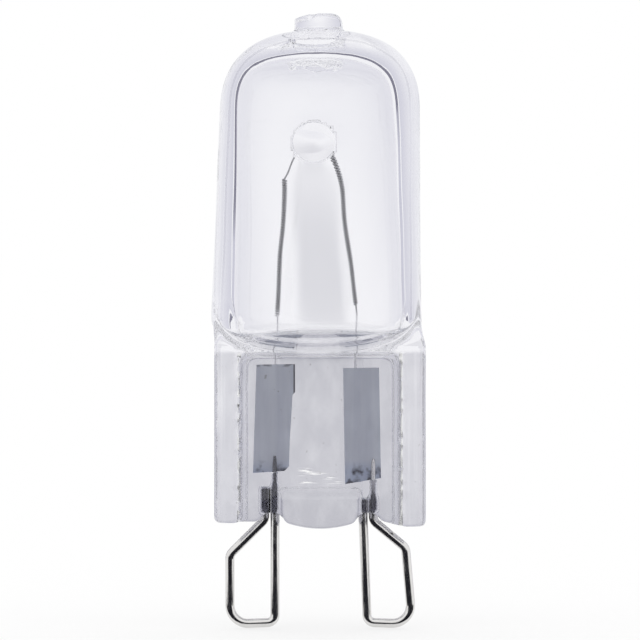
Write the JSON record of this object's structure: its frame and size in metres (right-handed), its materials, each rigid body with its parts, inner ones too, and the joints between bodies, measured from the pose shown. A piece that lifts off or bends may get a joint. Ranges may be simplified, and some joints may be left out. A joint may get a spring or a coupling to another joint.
{
  "type": "halogen capsule bulb",
  "caption": "Clear quartz capsule bulb with a coiled filament hung over a glass post, an H-section pinch seal with metal foils, and bent wire loops as its base.",
  "frame": {"origin": "on the seating plane at the foot of the pinch, midway between the wire loops", "axes": "+Z from the loops up to the exhaust stub, +X across the loops, +Y through the flat of the pinch to the back"},
  "size_m": [0.014, 0.0138, 0.0409],
  "materials": {
    "quartz": "clear fused quartz with press marks",
    "tungsten": "dark drawn wire",
    "foil": "satin rolled foil",
    "wire": "bright drawn wire"
  },
  "bodies": {
    "root": {"quartz_envelope": "quartz", "filament": "tungsten", "foil_left": "foil", "foil_right": "foil", "contact_loop_left": "wire", "contact_loop_right": "wire"}
  },
  "joints": []
}
